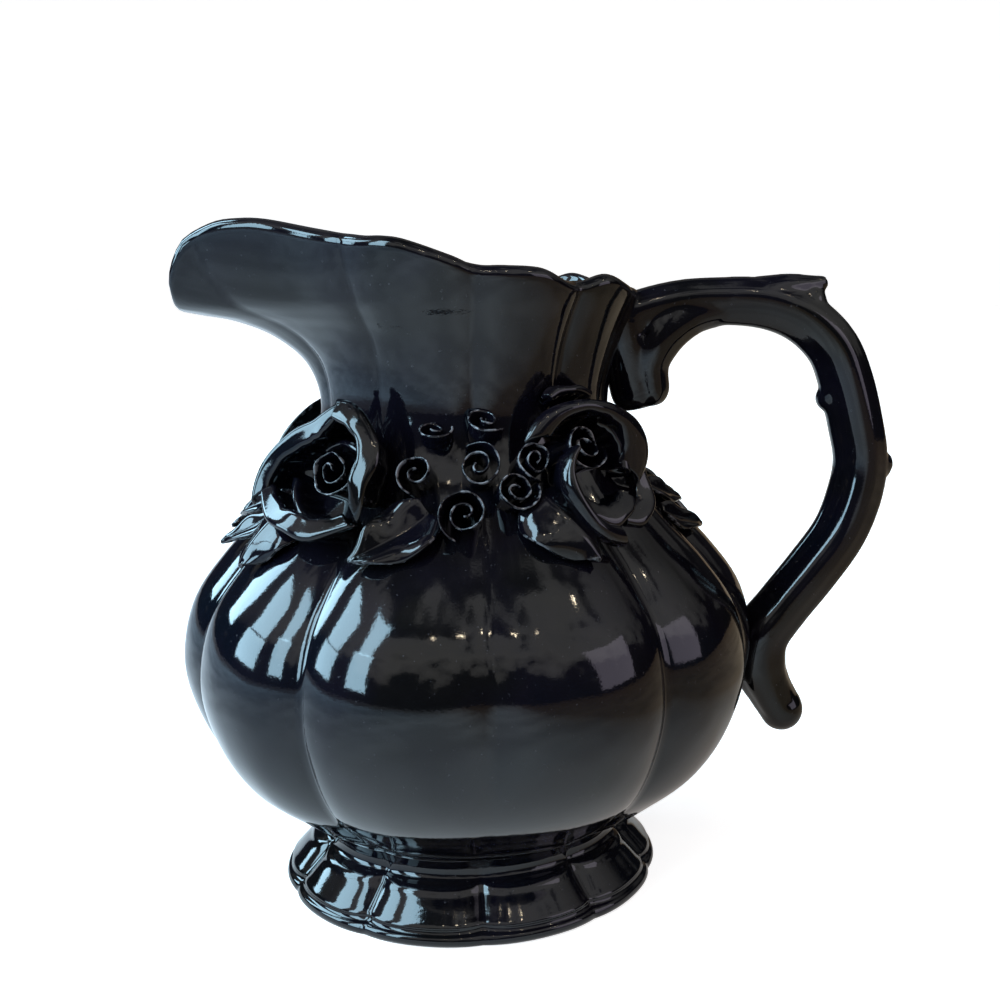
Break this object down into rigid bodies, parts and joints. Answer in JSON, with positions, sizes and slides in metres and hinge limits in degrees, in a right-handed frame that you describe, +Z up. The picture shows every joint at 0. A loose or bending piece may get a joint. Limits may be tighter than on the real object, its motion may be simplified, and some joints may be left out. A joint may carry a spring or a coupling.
{
  "type": "glazed pouring jug",
  "caption": "Glazed ceramic jug with a lobed belly, a fluted neck with a broad pouring spout, a branch handle and a garland of hand-rolled roses, scrolls and leaves on the shoulder.",
  "frame": {"origin": "middle of the foot ring, on the plane that the jug stands on", "axes": "+Z up, +X towards the handle, -X towards the spout, -Y the front with the garland"},
  "size_m": [0.227, 0.1744, 0.2053],
  "materials": {
    "body_glaze": "deep black gloss glaze over cast earthenware, with a faint violet and blue lustre",
    "applied_glaze": "the same black gloss glaze, thin and pale on the edges of the rolled clay"
  },
  "bodies": {
    "root": {"back_centre_left_leaf": "applied_glaze", "back_centre_right_leaf": "applied_glaze", "back_left_lower_leaf": "applied_glaze", "back_left_rose_bottom_petal": "applied_glaze", "back_left_rose_bud": "applied_glaze", "back_left_rose_high_inner_petal": "applied_glaze", "back_left_rose_left_petal": "applied_glaze", "back_left_rose_low_inner_petal": "applied_glaze", "back_left_rose_top_petal": "applied_glaze", "back_left_side_leaf": "applied_glaze", "back_left_upper_leaf": "applied_glaze", "back_right_lower_leaf": "applied_glaze", "back_right_rose_back_petal": "applied_glaze", "back_right_rose_bottom_petal": "applied_glaze", "back_right_rose_bud": "applied_glaze", "back_right_rose_fold_petal": "applied_glaze", "back_right_rose_hood_petal": "applied_glaze", "back_right_rose_lower_petal": "applied_glaze", "back_right_rose_right_petal": "applied_glaze", "back_right_upper_leaf": "applied_glaze", "back_scroll_five": "applied_glaze", "back_scroll_four": "applied_glaze", "back_scroll_one": "applied_glaze", "back_scroll_seven": "applied_glaze", "back_scroll_six": "applied_glaze", "back_scroll_three": "applied_glaze", "back_scroll_two": "applied_glaze", "belly": "body_glaze", "foot_ring": "body_glaze", "front_centre_left_leaf": "applied_glaze", "front_centre_right_leaf": "applied_glaze", "front_left_lower_leaf": "applied_glaze", "front_left_rose_bottom_petal": "applied_glaze", "front_left_rose_bud": "applied_glaze", "front_left_rose_high_inner_petal": "applied_glaze", "front_left_rose_left_petal": "applied_glaze", "front_left_rose_low_inner_petal": "applied_glaze", "front_left_rose_top_petal": "applied_glaze", "front_left_side_leaf": "applied_glaze", "front_left_upper_leaf": "applied_glaze", "front_right_lower_leaf": "applied_glaze", "front_right_rose_back_petal": "applied_glaze", "front_right_rose_bottom_petal": "applied_glaze", "front_right_rose_bud": "applied_glaze", "front_right_rose_fold_petal": "applied_glaze", "front_right_rose_hood_petal": "applied_glaze", "front_right_rose_lower_petal": "applied_glaze", "front_right_rose_right_petal": "applied_glaze", "front_right_upper_leaf": "applied_glaze", "front_scroll_five": "applied_glaze", "front_scroll_four": "applied_glaze", "front_scroll_one": "applied_glaze", "front_scroll_seven": "applied_glaze", "front_scroll_six": "applied_glaze", "front_scroll_three": "applied_glaze", "front_scroll_two": "applied_glaze", "handle": "body_glaze", "neck_spout": "body_glaze"}
  },
  "joints": []
}
